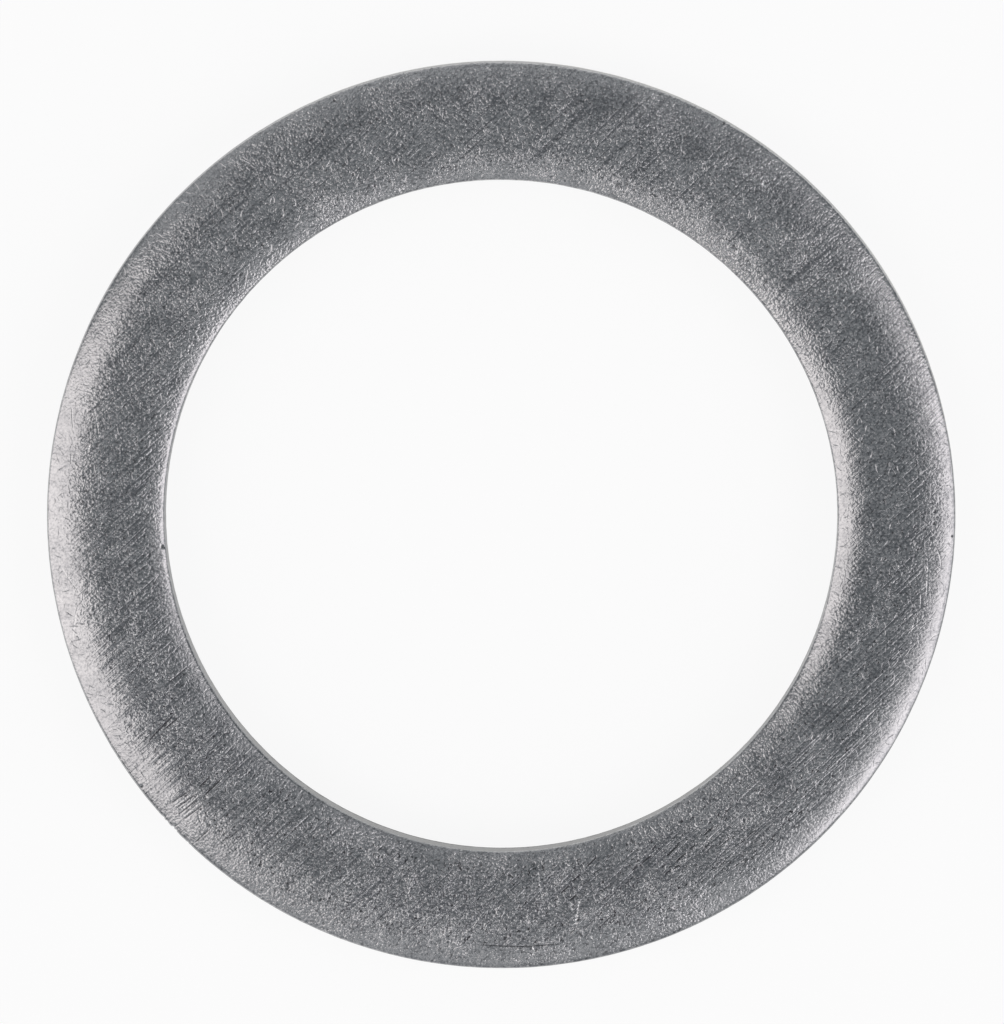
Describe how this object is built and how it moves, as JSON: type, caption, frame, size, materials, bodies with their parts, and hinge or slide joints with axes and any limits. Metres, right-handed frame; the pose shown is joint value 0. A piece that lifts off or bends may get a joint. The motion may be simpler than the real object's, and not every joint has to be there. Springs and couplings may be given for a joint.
{
  "type": "flat sealing ring",
  "caption": "Flat punched aluminium ring with a plain bore, rolled rims and sheared walls, crushed under a screw plug or banjo fitting to seal it.",
  "frame": {"origin": "centre of the bore in the plane of the lower face, on which the ring lies", "axes": "+Z along the bore, from the lower face to the upper face with the rolled rims; X and Y lie in the lower face"},
  "size_m": [0.022, 0.022, 0.0015],
  "materials": {
    "tumbled_aluminium": "rolled strip, tumbled to a dull grey with fine scratches, brighter on the rolled rims"
  },
  "bodies": {
    "root": {"sealing_ring": "tumbled_aluminium"}
  },
  "joints": []
}
